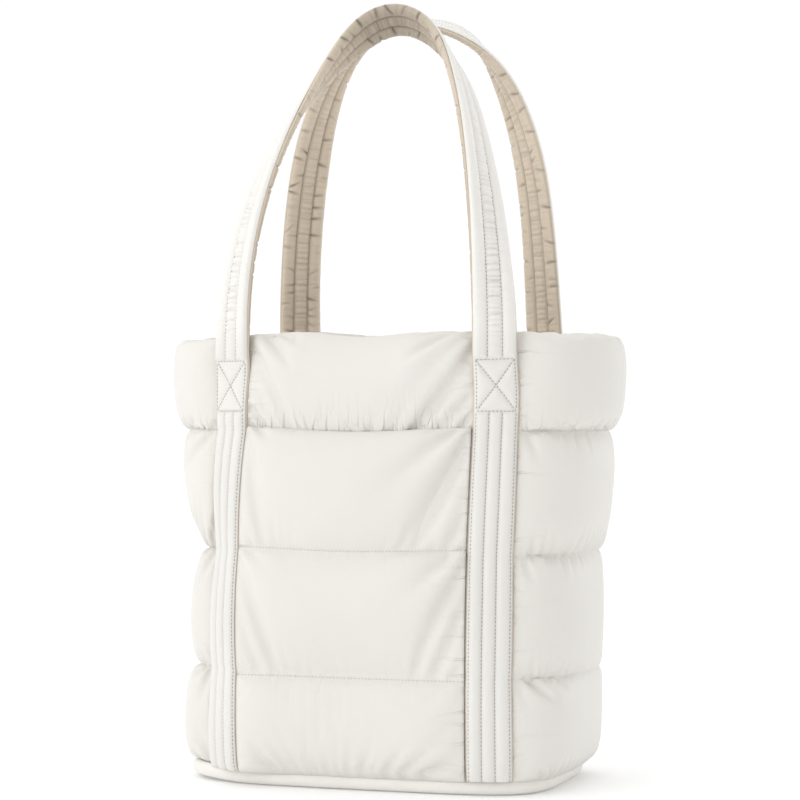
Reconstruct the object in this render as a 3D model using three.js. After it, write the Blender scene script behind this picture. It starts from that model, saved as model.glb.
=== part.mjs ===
// A quilted tote bag that stands on its padded base: a hollow puffed wall, a patch pocket
// and two long straps that run up the wall and on over as handles.
// Millimetres, +Z up, front towards -Y, origin on the floor under the middle of the base.

import * as THREE from "three";

// Driving dimensions
const RIM_HEIGHT = 386;
const BASE_THICKNESS = 11;
const BASE_BEVEL = 4.5;
const BASE_MARGIN = 4;
const CLEARANCE = 0.4;
const STRAP_CLEARANCE = 0.7;
const SEAM_HALF_THICKNESS = 2;
const INNER_PUFF = 6;
const STRAP_WIDTH = 37.5;
const STRAP_SPAN = 35;
const STRAP_SPACING = 233;
const LINING_THICKNESS = 1.2;
const POCKET_SEAM_THICKNESS = 3;
const POCKET_PUFF = 7;
const POCKET_SLOT = 14;
const POCKET_SIDE_GAP = 0.6;

// Stitched line of the wall at each seam, from the base to the rim: half width, half depth and
// squareness of a superellipse. puff is how far the row above the seam bulges at the sides, and
// drift is how far the straps sit off the middle, towards +X.
const SEAMS = [
  { z: BASE_THICKNESS + CLEARANCE, halfWidth: 158, halfDepth: 98, squareness: 4.4, puff: 13, drift: -2 },
  { z: 97, halfWidth: 164, halfDepth: 97, squareness: 3.4, puff: 12, drift: -4 },
  { z: 199, halfWidth: 170, halfDepth: 94, squareness: 2.9, puff: 12, drift: -4 },
  { z: 303, halfWidth: 183, halfDepth: 90, squareness: 2.5, puff: 14, drift: -1 },
  { z: RIM_HEIGHT, halfWidth: 190, halfDepth: 84, squareness: 2.2, puff: 0, drift: 0 },
];

// The front strap at -X wraps the corner of the bag: how far its wall turns there, in degrees, and
// how far the strap sits further round, by height. The turn fades out over a length on each side.
const CORNER = [
  { z: 0, turn: 20, slide: 0 },
  { z: 97, turn: 19, slide: -2 },
  { z: 199, turn: 16, slide: -4 },
  { z: 303, turn: 11, slide: -1 },
  { z: RIM_HEIGHT, turn: 8, slide: 0 },
];
const CORNER_FADE = { pocket: 50, side: 32 };
const ROWS = SEAMS.length - 1;

// Slack of the wall: places pushed in (negative) or out, by their angle round the bag in degrees
// from +X, their height, and how far the push spreads round the bag and up it. taut is the share
// of the puff that is pulled flat there.
const SLUMPS = [
  { angle: 180, z: 199, spread: 28, rise: 40, push: -12, taut: 0 },
  { angle: 180, z: 210, spread: 34, rise: 80, push: 0, taut: 0.3 },
  { angle: 180, z: 40, spread: 30, rise: 40, push: 5, taut: 0 },
  { angle: 8, z: 180, spread: 30, rise: 170, push: 8, taut: 0.5 },
  { angle: 8, z: 97, spread: 30, rise: 35, push: 4, taut: 0 },
];

// Sag of the rim between the front straps, and the gathers drawn up along the seams
const RIM_SAG = 11;
const GATHER_DEPTH = 1.2;
const GATHER_PITCH = 33;

// Share of a row's puff left under a strap, behind the pocket and over the pocket's mouth, and
// the length it returns over
const UNDER_STRAP = 0.3;
const BEHIND_POCKET = 0.3;
const OVER_POCKET = 0.72;
const PUFF_RETURN = 22;

// Handles above the wall: rise over the last sewn level, lean of the apex towards the middle of
// the bag, and fullness of the arch upwards and outwards. They stand off the rim a little as
// they leave it.
const HANDLES = {
  front: { rise: 318, lean: 88, fullUp: 2.0, fullOut: 2.0 },
  back: { rise: 320, lean: 10, fullUp: 2.8, fullOut: 2.4 },
};
const LEAN_POWER = 1.9;
const STAND_OFF = 2.5;
const STAND_OFF_RISE = 0.08;

// Twist of each handle, in degrees from facing out of the wall to facing along the arch, and how far
// it hangs aside of its arch, towards +X, by the share of the way along it. The front handle starts
// at -X and the back handle at +X.
const HANG = {
  front: [
    { share: 0, twist: 18, aside: 0 },
    { share: 0.07, twist: 25, aside: -5 },
    { share: 0.17, twist: 37, aside: -7 },
    { share: 0.27, twist: 54, aside: -3 },
    { share: 0.38, twist: 78, aside: 0 },
    { share: 0.44, twist: 104, aside: 0 },
    { share: 0.5, twist: 124, aside: 0 },
    { share: 0.56, twist: 112, aside: 0 },
    { share: 0.62, twist: 90, aside: 0 },
    { share: 0.73, twist: 72, aside: -2 },
    { share: 0.83, twist: 52, aside: -2 },
    { share: 0.93, twist: 26, aside: -1 },
    { share: 1, twist: 16, aside: 0 },
  ],
  back: [
    { share: 0, twist: 14, aside: 0 },
    { share: 0.07, twist: 22, aside: -5 },
    { share: 0.17, twist: 28, aside: -5.5 },
    { share: 0.27, twist: 34, aside: -4 },
    { share: 0.38, twist: 58, aside: 0 },
    { share: 0.44, twist: 112, aside: 0 },
    { share: 0.5, twist: 122, aside: 0 },
    { share: 0.56, twist: 112, aside: 0 },
    { share: 0.62, twist: 80, aside: -3 },
    { share: 0.73, twist: 46, aside: -3 },
    { share: 0.83, twist: 40, aside: -3 },
    { share: 0.93, twist: 36, aside: -3 },
    { share: 1, twist: 14, aside: 0 },
  ],
};

// Strap section: across is the share of the half width, rise is the height of the quilted face
const STRAP_PROFILE = [
  { across: -1, rise: 1.4 },
  { across: -0.62, rise: 4.6 },
  { across: -0.28, rise: 2.6 },
  { across: 0, rise: 4.4 },
  { across: 0.28, rise: 2.6 },
  { across: 0.62, rise: 4.6 },
  { across: 1, rise: 1.4 },
];

// Facets
const FRONT_STEPS = 14;
const STRAP_STEPS = 4;
const SIDE_STEPS = 16;
const SIDE_SAMPLES = 120;
const ROW_STEPS = 4;
const HANDLE_STEPS = 28;
const HANDLE_SAMPLES = 48;
const BASE_STEPS = 72;
const BASE_BEVEL_STEPS = 2;
const INNER_STRIDE = 2;
const SEWN_LEVEL = ROW_STEPS * (ROWS - 1) + ROW_STEPS / 2;

const IVORY = new THREE.MeshStandardMaterial({ color: 0xf1efe8, roughness: 0.62, metalness: 0 });
const TAUPE = new THREE.MeshStandardMaterial({ color: 0xb8a893, roughness: 0.68, metalness: 0 });

const { lerp, clamp, degToRad, radToDeg, euclideanModulo } = THREE.MathUtils;
const strapCentre = STRAP_SPACING / 2;
const strapInner = strapCentre - STRAP_SPAN / 2;
const strapOuter = strapCentre + STRAP_SPAN / 2;

// Smooth rise from 0 to 1
function ease(t) {
  const s = clamp(t, 0, 1);
  return s * s * (3 - 2 * s);
}

function bell(distance, spread) {
  return Math.exp(-((distance / spread) ** 2));
}

// Value of a column of a table at a place between two of its rows
function lookUp(table, key, place, column) {
  const next = clamp(table.findIndex((row) => row[key] >= place), 1, table.length - 1);
  const [low, high] = [table[next - 1], table[next]];
  return lerp(low[column], high[column], (place - low[key]) / (high[key] - low[key]));
}

// Two triangles of a four-sided facet
function facet(index, a, b, c, d) {
  index.push(a, b, c, a, c, d);
}

// A closed solid between two grids of points, outer[i][j] and inner[i][j]
function slab(outer, inner) {
  const rows = outer[0].length;
  const [lastI, lastJ] = [outer.length - 1, rows - 1];
  const index = [];
  const out = (i, j) => i * rows + j;
  const back = (i, j) => (outer.length + i) * rows + j;
  for (let i = 0; i < lastI; i++) {
    for (let j = 0; j < lastJ; j++) {
      facet(index, out(i, j), out(i + 1, j), out(i + 1, j + 1), out(i, j + 1));
      facet(index, back(i, j), back(i, j + 1), back(i + 1, j + 1), back(i + 1, j));
    }
    facet(index, back(i, 0), back(i + 1, 0), out(i + 1, 0), out(i, 0));
    facet(index, out(i, lastJ), out(i + 1, lastJ), back(i + 1, lastJ), back(i, lastJ));
  }
  for (let j = 0; j < lastJ; j++) {
    facet(index, back(0, j), out(0, j), out(0, j + 1), back(0, j + 1));
    facet(index, out(lastI, j), back(lastI, j), back(lastI, j + 1), out(lastI, j + 1));
  }
  return new THREE.BufferGeometry().setFromPoints([...outer.flat(), ...inner.flat()]).setIndex(index);
}

// A closed solid skinned over rings of points, where the last ring joins the first
function hollow(rings) {
  const count = rings[0].length;
  const index = [];
  rings.forEach((_, level) => {
    const low = level * count;
    const high = ((level + 1) % rings.length) * count;
    for (let i = 0; i < count; i++) {
      const next = (i + 1) % count;
      facet(index, low + i, low + next, high + next, high + i);
    }
  });
  return new THREE.BufferGeometry().setFromPoints(rings.flat()).setIndex(index);
}

function named(name, geometry, material) {
  const mesh = new THREE.Mesh(geometry, material);
  mesh.name = name;
  return mesh;
}

// Sizes of the stitched line at any height
function sectionAt(z) {
  return {
    halfWidth: lookUp(SEAMS, "z", z, "halfWidth"),
    halfDepth: lookUp(SEAMS, "z", z, "halfDepth"),
    squareness: lookUp(SEAMS, "z", z, "squareness"),
    drift: lookUp(SEAMS, "z", z, "drift"),
    slide: lookUp(CORNER, "z", z, "slide"),
    turn: lookUp(CORNER, "z", z, "turn"),
  };
}

// Place on the front at x across it, moved with the straps
function frontPlace({ drift, slide }, x) {
  return x + drift + slide * clamp((strapInner - x) / (2 * strapInner), 0, 1);
}

// Offset of the wall where it turns round the corner, at a distance from the middle of the strap
// there, positive towards the pocket
function cornerOffset({ turn }, distance) {
  const half = STRAP_SPAN / 2;
  const fade = distance > 0 ? CORNER_FADE.pocket : CORNER_FADE.side;
  const left = 1 - ease((Math.abs(distance) - half) / fade);
  return Math.tan(degToRad(turn)) * clamp(distance, -half, half) * left;
}

// Point of a superellipse at an angle in plan
function planPoint({ halfWidth, halfDepth, squareness }, angle) {
  const bent = (value) => Math.sign(value) * Math.abs(value) ** (2 / squareness);
  return new THREE.Vector2(halfWidth * bent(Math.cos(angle)), halfDepth * bent(Math.sin(angle)));
}

// Angle in plan at which a superellipse passes x, on the back half
function planAngle({ halfWidth, squareness }, x) {
  return Math.acos(Math.sign(x) * (Math.abs(x) / halfWidth) ** (squareness / 2));
}

// Places round the bag, from the outer edge of the front strap at -X: x across the front and the
// back, and a step of the way round each side
function placesRound() {
  const strapStep = STRAP_SPAN / STRAP_STEPS;
  const frontStep = (2 * strapInner) / FRONT_STEPS;
  const across = [];
  for (let i = 0; i < STRAP_STEPS; i++) across.push(-strapOuter + strapStep * i);
  for (let i = 0; i < FRONT_STEPS; i++) across.push(-strapInner + frontStep * i);
  for (let i = 0; i <= STRAP_STEPS; i++) across.push(strapInner + strapStep * i);
  const steps = Array.from({ length: SIDE_STEPS - 1 }, (_, i) => i + 1);
  return [
    ...across.map((x) => ({ face: "front", x })),
    ...steps.map((step) => ({ face: "right", step })),
    ...across.map((x) => ({ face: "back", x: -x })),
    ...steps.map((step) => ({ face: "left", step })),
  ];
}
const PLACES = placesRound();
const FIRST_PLACE = { front: 0, back: PLACES.findIndex(({ face }) => face === "back") };

// The +X side of a section, front strap edge to back strap edge, in equal steps of length
function sidePoints(section, front, back = front) {
  const [first, last] = [-planAngle(section, front), planAngle(section, back)];
  const dense = Array.from({ length: SIDE_SAMPLES + 1 }, (_, i) =>
    planPoint(section, lerp(first, last, i / SIDE_SAMPLES)),
  );
  return new THREE.SplineCurve(dense).getSpacedPoints(SIDE_STEPS);
}

// The stitched line at height z: at each place a point, an outward normal, the length round to it
// and its distance past the edge of the nearest strap
function stitchedRing(z) {
  const section = sectionAt(z);
  const { drift } = section;
  const right = sidePoints(section, strapOuter + drift);
  const ends = [-frontPlace(section, -strapOuter), strapOuter - drift];
  const left = sidePoints(section, ends[1], ends[0]).map((point) => point.negate());
  const edges = [right[0], right[SIDE_STEPS], left[0], left[SIDE_STEPS]];
  const points = PLACES.map(({ face, x, step }) => {
    if (face === "front") return planPoint(section, -planAngle(section, frontPlace(section, x)));
    if (face === "back") return planPoint(section, planAngle(section, x + drift));
    return face === "right" ? right[step] : left[step];
  });
  let length = 0;
  return points.map((point, i) => {
    const before = points.at(i - 1);
    const along = points[(i + 1) % points.length].clone().sub(before).normalize();
    length += i ? point.distanceTo(before) : 0;
    const { face, x } = PLACES[i];
    const onFace = face === "front" || face === "back";
    const past = onFace
      ? Math.abs(Math.abs(x) - strapCentre) - STRAP_SPAN / 2
      : Math.min(...edges.map((edge) => point.distanceTo(edge)));
    const round = face === "front" ? x + strapCentre : -STRAP_SPAN / 2 - point.distanceTo(edges[3]);
    const corner = face === "front" || face === "left" ? cornerOffset(section, round) : 0;
    return { point, normal: new THREE.Vector2(along.y, -along.x), length, past, corner };
  });
}

// Share of the full puff at a place: less under the straps and behind the pocket
function puffShare({ face }, past, row) {
  const front = row < ROWS - 1 ? BEHIND_POCKET : OVER_POCKET;
  return lerp(UNDER_STRAP, face === "front" ? front : 1, ease(past / PUFF_RETURN));
}

// Push of the slack at a place on the wall, and the share of the puff it leaves
function slumpAt(point, z) {
  const angle = radToDeg(Math.atan2(point.y, point.x));
  const sum = { push: 0, puff: 1 };
  SLUMPS.forEach((slump) => {
    const turn = euclideanModulo(angle - slump.angle + 180, 360) - 180;
    const reach = bell(turn, slump.spread) * bell(z - slump.z, slump.rise);
    sum.push += slump.push * reach;
    sum.puff -= slump.taut * reach;
  });
  return sum;
}

// Share of the way from a pocket side to the middle of the front, for the rim sag and the slot
function middleShare(x) {
  return Math.cos((Math.PI / 2) * clamp(x / strapInner, -1, 1)) ** 2;
}

// Outer and inner points of the wall at one level of a row; turn runs from 0 at the lower seam
// to half a turn at the upper one
function wallLevel(row, turn) {
  const [low, high] = [SEAMS[row], SEAMS[row + 1]];
  const rise = (1 - Math.cos(turn)) / 2;
  const z = lerp(low.z, high.z, rise);
  const lobe = Math.sin(turn);
  const top = row === ROWS - 1;
  const level = { z, outer: [], inner: [], normals: [] };
  stitchedRing(z).forEach(({ point, normal, length, past, corner }, i) => {
    const place = PLACES[i];
    const share = puffShare(place, past, row);
    const gathered = (1 - lobe) * ease(past / PUFF_RETURN) * (top && rise > 0.5 ? 0 : 1);
    const gather = GATHER_DEPTH * gathered * Math.cos((2 * Math.PI * length) / GATHER_PITCH);
    const slump = slumpAt(point, z);
    const sag = top && place.face === "front" ? RIM_SAG * middleShare(place.x) * ease(rise) : 0;
    const put = (offset) =>
      new THREE.Vector3(point.x + normal.x * offset, point.y + normal.y * offset, z - sag);
    const puff = low.puff * share * slump.puff * lobe;
    const push = slump.push + corner;
    level.outer.push(put(push + SEAM_HALF_THICKNESS + puff + gather));
    level.inner.push(put(push - SEAM_HALF_THICKNESS - INNER_PUFF * lobe));
    level.normals.push(new THREE.Vector3(normal.x, normal.y, 0));
  });
  return level;
}

// Levels of the whole wall, base to rim; a seam between two rows is kept once
function wallLevels() {
  const levels = [wallLevel(0, 0)];
  for (let row = 0; row < ROWS; row++) {
    for (let step = 1; step <= ROW_STEPS; step++) levels.push(wallLevel(row, (Math.PI * step) / ROW_STEPS));
  }
  return levels;
}
const LEVELS = wallLevels();

// Padded wall: a tube open at the top and at the base, with coarser facets on its inner face
function bodyShell() {
  const inner = LEVELS.filter((_, level) => level % INNER_STRIDE === 0).map((level) => level.inner);
  const rings = [...LEVELS.map((level) => level.outer), ...inner.reverse()];
  return named("body_shell", hollow(rings), IVORY);
}

// Padded base: a flat panel with a rounded edge, under the foot of the wall
function basePanel() {
  const outline = sectionAt(SEAMS[0].z);
  outline.halfWidth += BASE_MARGIN - BASE_BEVEL;
  outline.halfDepth += BASE_MARGIN - BASE_BEVEL;
  const plan = Array.from({ length: BASE_STEPS }, (_, i) =>
    planPoint(outline, (2 * Math.PI * i) / BASE_STEPS),
  );
  const geometry = new THREE.ExtrudeGeometry(new THREE.Shape(plan), {
    depth: BASE_THICKNESS - 2 * BASE_BEVEL,
    bevelThickness: BASE_BEVEL,
    bevelSize: BASE_BEVEL,
    bevelSegments: BASE_BEVEL_STEPS,
  });
  return named("base_panel", geometry.translate(0, 0, BASE_BEVEL), IVORY);
}

// Quilted pocket between the front straps, up to the highest stitched seam, with its mouth open
function frontPocket() {
  const count = ROW_STEPS * (ROWS - 1);
  const foot = LEVELS[0].z;
  const rise = LEVELS[count].z - foot;
  const outer = [];
  const inner = [];
  for (let i = 0; i <= FRONT_STEPS; i++) {
    const place = STRAP_STEPS + i;
    const edge = clamp(2 * (i / FRONT_STEPS) - 1, -1, 1);
    const inset = -edge * Math.abs(edge) ** 9 * POCKET_SIDE_GAP;
    const lift = (height, depth) => {
      const level = LEVELS[height];
      const moved = level.outer[place].clone().addScaledVector(level.normals[place], depth);
      return moved.setX(moved.x + inset);
    };
    const back = [];
    const front = [];
    for (let height = 0; height <= count; height++) {
      const lobe = Math.abs(Math.sin((Math.PI * height) / ROW_STEPS));
      const mouth = ((LEVELS[height].z - foot) / rise) ** 4 * middleShare(PLACES[place].x);
      const clear = CLEARANCE + POCKET_SLOT * mouth;
      const puff = POCKET_PUFF * lobe * (1 - Math.abs(edge) ** 6);
      back.push(lift(height, clear));
      front.push(lift(height, clear + POCKET_SEAM_THICKNESS + puff));
    }
    inner.push(back);
    outer.push(front);
  }
  return named("front_pocket", slab(outer, inner), IVORY);
}

// Sewn run of one leg at a level: points under the strap, from its inner edge to its outer edge
function sewnStation(level, side, first) {
  const start = FIRST_PLACE[side] + (first ? STRAP_STEPS : STRAP_STEPS + FRONT_STEPS);
  const stepOut = first ? -1 : 1;
  const places = Array.from({ length: STRAP_STEPS + 1 }, (_, i) => start + stepOut * i);
  return {
    points: places.map((place) => level.outer[place]),
    normals: places.map((place) => level.normals[place]),
  };
}

// Twist of a handle or its place aside at a share of the way along it, smooth between rows of its table
function hangAt(side, share, column) {
  const table = HANG[side];
  const next = clamp(table.findIndex((row) => row.share >= share), 1, table.length - 1);
  const within = (share - table[next - 1].share) / (table[next].share - table[next - 1].share);
  const smooth = new THREE.SplineCurve(table.map((row) => new THREE.Vector2(row.share, row[column])));
  return smooth.getPoint((next - 1 + within) / (table.length - 1)).y;
}

// Free run of a handle, leg to leg, worked in the front strap's own view
function handleStations(side) {
  const { rise, lean, fullUp, fullOut } = HANDLES[side];
  const turned = side === "back" ? Math.PI : 0;
  const upright = new THREE.Vector3(0, 0, 1);
  const feet = [true, false].map((first) => {
    const { points } = sewnStation(LEVELS[SEWN_LEVEL], side, first);
    const middle = STRAP_STEPS / 2;
    return points[middle].clone().applyAxisAngle(upright, -turned);
  });
  const path = Array.from({ length: HANDLE_SAMPLES + 1 }, (_, i) => {
    const turn = (Math.PI * i) / HANDLE_SAMPLES;
    const up = Math.sin(turn) ** (2 / fullUp);
    const out = Math.sign(Math.cos(turn)) * Math.abs(Math.cos(turn)) ** (2 / fullOut);
    const foot = out > 0 ? feet[0] : feet[1];
    const inward = lean * up ** LEAN_POWER - STAND_OFF * ease(up / STAND_OFF_RISE);
    return new THREE.Vector3(-strapCentre * out, foot.y + inward, foot.z + rise * up);
  });
  const hung = new THREE.CatmullRomCurve3(path).getSpacedPoints(HANDLE_SAMPLES).map((point, i) => {
    const aside = hangAt(side, i / HANDLE_SAMPLES, "aside");
    return point.setX(point.x + (turned ? -aside : aside));
  });
  const curve = new THREE.CatmullRomCurve3(hung);
  const facing = new THREE.Vector3(0, -1, 0);
  const stations = [];
  for (let i = 1; i < HANDLE_STEPS; i++) {
    const share = i / HANDLE_STEPS;
    const point = curve.getPointAt(share);
    const along = curve.getTangentAt(share);
    const outward = facing.clone().cross(along).normalize();
    const forward = along.clone().cross(outward);
    const twist = degToRad(hangAt(side, share, "twist"));
    const normal = forward.multiplyScalar(Math.cos(twist)).addScaledVector(outward, Math.sin(twist));
    const across = normal.clone().cross(along);
    const points = Array.from({ length: STRAP_STEPS + 1 }, (_, j) => {
      const reach = STRAP_WIDTH * (j / STRAP_STEPS - 0.5);
      return point.clone().addScaledVector(across, reach).applyAxisAngle(upright, turned);
    });
    const turnedNormal = normal.applyAxisAngle(upright, turned);
    stations.push({ points, normals: points.map(() => turnedNormal) });
  }
  return stations;
}

// A strap from the foot of one leg, over its handle, to the foot of the other leg
function strapStations(side) {
  const sewn = LEVELS.slice(0, SEWN_LEVEL + 1);
  return [
    ...sewn.map((level) => sewnStation(level, side, true)),
    ...handleStations(side),
    ...sewn.reverse().map((level) => sewnStation(level, side, false)),
  ];
}

// Point of a station at a share across it, lifted along its normal
function strapPoint({ points, normals }, across, lift) {
  const place = ((across + 1) / 2) * STRAP_STEPS;
  const low = Math.min(STRAP_STEPS - 1, Math.floor(place));
  const point = points[low].clone().lerp(points[low + 1], place - low);
  const normal = normals[low].clone().lerp(normals[low + 1], place - low).normalize();
  return point.addScaledVector(normal, lift);
}

// Taupe lining next to the wall and quilted ivory face over it
function strap(side) {
  const stations = strapStations(side);
  const liningTop = STRAP_CLEARANCE + LINING_THICKNESS;
  const faceFoot = liningTop + CLEARANCE;
  const sheet = (lift, swell = 0) =>
    stations.map((station) =>
      STRAP_PROFILE.map(({ across, rise }) => strapPoint(station, across, lift + swell * rise)),
    );
  return [
    named(`${side}_strap_face`, slab(sheet(faceFoot, 1), sheet(faceFoot)), IVORY),
    named(`${side}_strap_lining`, slab(sheet(liningTop), sheet(STRAP_CLEARANCE)), TAUPE),
  ];
}

const bag = new THREE.Group();
bag.name = "tote_bag";
bag.add(bodyShell(), basePanel(), frontPocket(), ...strap("front"), ...strap("back"));

export default bag;
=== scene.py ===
# A quilted tote bag: puffed nylon rows, a quilted pocket, padded straps and their stitching.
# Sizes are in millimetres, with +Z up and the front facing -Y; meshes are made in metres.

import math

import bpy
import numpy as np
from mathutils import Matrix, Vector


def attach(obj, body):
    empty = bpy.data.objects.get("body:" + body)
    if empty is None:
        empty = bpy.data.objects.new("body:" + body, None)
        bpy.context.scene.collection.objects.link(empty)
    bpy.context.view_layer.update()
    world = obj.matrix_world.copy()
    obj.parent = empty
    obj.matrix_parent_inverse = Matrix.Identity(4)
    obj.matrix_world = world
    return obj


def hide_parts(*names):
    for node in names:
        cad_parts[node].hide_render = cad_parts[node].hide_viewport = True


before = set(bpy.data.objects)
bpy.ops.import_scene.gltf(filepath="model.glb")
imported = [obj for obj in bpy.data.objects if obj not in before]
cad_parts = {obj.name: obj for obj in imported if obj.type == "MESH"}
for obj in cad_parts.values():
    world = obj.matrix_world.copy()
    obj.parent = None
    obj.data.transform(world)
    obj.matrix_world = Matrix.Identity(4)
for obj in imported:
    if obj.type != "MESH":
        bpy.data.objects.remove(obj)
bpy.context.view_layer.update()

MM = 0.001
SEED = 7

# Body
RIM_HEIGHT = 386.0
BASE_THICKNESS = 11.0
CLEARANCE = 0.4
SEAM_HALF_THICKNESS = 2.0
INNER_PUFF = 6.0
STRAP_SPAN = 35.0
STRAP_CENTRE = 116.5
STRAP_INNER = STRAP_CENTRE - STRAP_SPAN / 2
STRAP_OUTER = STRAP_CENTRE + STRAP_SPAN / 2

# Stitched line of the wall at each seam, base to rim
SEAM_Z = [BASE_THICKNESS + CLEARANCE, 97.0, 199.0, 303.0, RIM_HEIGHT]
HALF_WIDTH = [158.0, 164.0, 170.0, 183.0, 190.0]
HALF_DEPTH = [98.0, 97.0, 94.0, 90.0, 84.0]
SQUARENESS = [4.4, 3.4, 2.9, 2.5, 2.2]
DRIFT = [-2.0, -4.0, -4.0, -1.0, 0.0]
ROW_PUFF = [13.0, 12.0, 12.0, 14.0]
ROWS = len(ROW_PUFF)
LOW_SKEW = 0.58
LOBE_POWER = 0.5

# Slack of the wall: angle round the bag, height, spread in degrees, spread in height, push, taut share
SLUMPS = [
    (180, 199, 28, 40, -12, 0.0),
    (180, 210, 34, 80, 0, 0.3),
    (180, 40, 30, 40, 5, 0.0),
    (8, 180, 30, 170, 8, 0.0),
    (8, 160, 30, 120, 0, 0.7),
    (8, 97, 30, 50, 6, 0.3),
    (8, 350, 30, 40, 4, 0.0),
]

# Rise of the rim between the front straps and its sag at the dip
RIM_RISE = 4.5
RIM_SAG = 8.0
RIM_DIP = 4.0
DIP_REACH = 46.0

# Fall of the rim towards the ends: angle round the bag, spread in degrees, fall
RIM_FALLS = [(192, 20, 5), (12, 20, 3), (142, 24, -5), (36, 14, 2)]

# Drop of the seam behind the pocket's mouth
MOUTH_DROP = 9.5
MOUTH_REACH = 24.0
MOUTH_COVER = 10.0
MOUTH_POWER = 8

# Rise of the foot at the slack end
END_LIFT = 2.5
LIFT_FROM = -95.0
LIFT_REACH = 60.0
LIFT_HEIGHT = 80.0

# Corner that the front strap at -X wraps: turn of the wall in degrees and slide of the strap, by height
CORNER_Z = [0.0, 97.0, 199.0, 303.0, RIM_HEIGHT]
CORNER_TURN = [20.0, 19.0, 16.0, 11.0, 8.0]
CORNER_SLIDE = [0.0, -2.0, -4.0, -1.0, 0.0]
POCKET_FADE = 50.0
SIDE_FADE = 32.0

# Shares of the full puff, and the distance from a strap at which it returns
UNDER_STRAP = 0.3
BEHIND_POCKET = 0.3
OVER_POCKET = 0.72
PUFF_RETURN = 22.0

# Grid of the wall
MIDDLE_COLUMNS = 80
STRAP_COLUMNS = 10
SIDE_COLUMNS = 104
SIDE_SAMPLES = 400
ROW_STEPS = 42
RIM_STEPS = 8
INNER_STEPS = 6


def ease(t):
    t = np.clip(t, 0.0, 1.0)
    return t * t * (3.0 - 2.0 * t)


def bell(t):
    return np.exp(-(t ** 2))


def unit(vectors):
    return vectors / np.linalg.norm(vectors, axis=-1, keepdims=True)


def run_length(points):
    """Length along a line of points, from its first point."""
    return np.concatenate([[0.0], np.cumsum(np.linalg.norm(np.diff(points, axis=0), axis=-1))])


def sample(places, length, points):
    """Points of a line at places along its length."""
    return np.stack([np.interp(places, length, column) for column in points.T], axis=-1)


def from_ends(places):
    """Distance of places along a line from its nearer end."""
    return np.minimum(places, places[-1] - places)


def ring_normals(points):
    """Outward normals of a closed ring of points seen from above."""
    along = unit(np.roll(points, -1, axis=0) - np.roll(points, 1, axis=0))
    return np.stack([along[:, 1], -along[:, 0]], axis=-1)


def section(z):
    """Half width, half depth, squareness and strap drift of the stitched line."""
    return [np.interp(z, SEAM_Z, column) for column in (HALF_WIDTH, HALF_DEPTH, SQUARENESS, DRIFT)]


def plan_points(oval, angle):
    half_width, half_depth, squareness = oval
    power = 2.0 / squareness
    cos, sin = np.cos(angle), np.sin(angle)
    x = half_width * np.sign(cos) * np.abs(cos) ** power
    y = half_depth * np.sign(sin) * np.abs(sin) ** power
    return np.stack([x, y], axis=-1)


def plan_angle(oval, x):
    half_width, _, squareness = oval
    return np.arccos(np.sign(x) * (np.abs(x) / half_width) ** (squareness / 2.0))


def side_points(oval, front, back):
    """The +X side of an oval between the straps' edges, in equal lengths."""
    turn = np.linspace(-plan_angle(oval, front), plan_angle(oval, back), SIDE_SAMPLES)
    dense = plan_points(oval, turn)
    length = run_length(dense)
    return sample(np.linspace(0.0, length[-1], SIDE_COLUMNS + 1), length, dense)


strap_across = np.linspace(-STRAP_OUTER, -STRAP_INNER, STRAP_COLUMNS + 1)
middle_across = np.linspace(-STRAP_INNER, STRAP_INNER, MIDDLE_COLUMNS + 1)
ACROSS = np.concatenate([strap_across[:-1], middle_across[:-1], -strap_across[::-1]])
FACE_COLUMNS = len(ACROSS)
FRONT = slice(0, FACE_COLUMNS)
RIGHT = slice(FACE_COLUMNS, FACE_COLUMNS + SIDE_COLUMNS - 1)
BACK = slice(RIGHT.stop, RIGHT.stop + FACE_COLUMNS)
LEFT = slice(BACK.stop, BACK.stop + SIDE_COLUMNS - 1)
COLUMNS = LEFT.stop

# Columns of the wall between the straps, with a strap's edge at both ends
SPANS = {
    "right": np.arange(RIGHT.start - 1, RIGHT.stop + 1),
    "left": np.append(np.arange(LEFT.start - 1, LEFT.stop), 0),
    "back": np.arange(BACK.start + STRAP_COLUMNS, BACK.stop - STRAP_COLUMNS),
    "front": np.arange(STRAP_COLUMNS, FACE_COLUMNS - STRAP_COLUMNS),
}


def front_place(z, across):
    """Places across the front, moved with the straps."""
    slide = np.interp(z, CORNER_Z, CORNER_SLIDE)
    share = np.clip((STRAP_INNER - across) / (2.0 * STRAP_INNER), 0.0, 1.0)
    return across + section(z)[3] + slide * share


def corner_offset(z, distance):
    """Offset of the wall round the corner, by the distance from the strap there."""
    half = STRAP_SPAN / 2
    fade = np.where(distance > 0, POCKET_FADE, SIDE_FADE)
    left = 1.0 - ease((np.abs(distance) - half) / fade)
    turn = math.radians(np.interp(z, CORNER_Z, CORNER_TURN))
    return math.tan(turn) * np.clip(distance, -half, half) * left


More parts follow.
